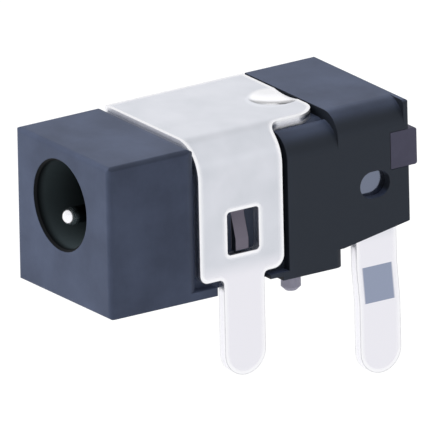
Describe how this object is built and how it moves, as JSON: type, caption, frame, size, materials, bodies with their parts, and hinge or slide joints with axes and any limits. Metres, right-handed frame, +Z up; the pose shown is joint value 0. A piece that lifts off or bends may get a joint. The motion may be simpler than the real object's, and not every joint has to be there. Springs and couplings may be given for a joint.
{
  "type": "dc barrel jack",
  "caption": "Right-angle power socket for a circuit board, with a centre pin, a sleeve contact shell folded over a moulded body, and solder legs.",
  "frame": {"origin": "on the board plane, midway between the two locating pegs", "axes": "+Z up from the board, -Y towards the socket's mouth, +X towards the side with the solder legs"},
  "size_m": [0.0066, 0.0145, 0.0111],
  "materials": {
    "housing_nylon": "glass-filled nylon, moulded, satin",
    "cover_nylon": "nylon, moulded, satin",
    "plated_shell": "bright plated sheet brass, pressed and folded",
    "spring_bronze": "phosphor bronze strip, bright",
    "plated_pin": "turned brass, bright plated",
    "plated_terminal": "bright plated sheet brass, pressed and folded"
  },
  "bodies": {
    "root": {"housing": "housing_nylon", "rear_cover": "cover_nylon", "sleeve_contact": "plated_shell", "sleeve_spring": "spring_bronze", "centre_pin": "plated_pin", "pin_terminal": "plated_terminal"}
  },
  "joints": []
}
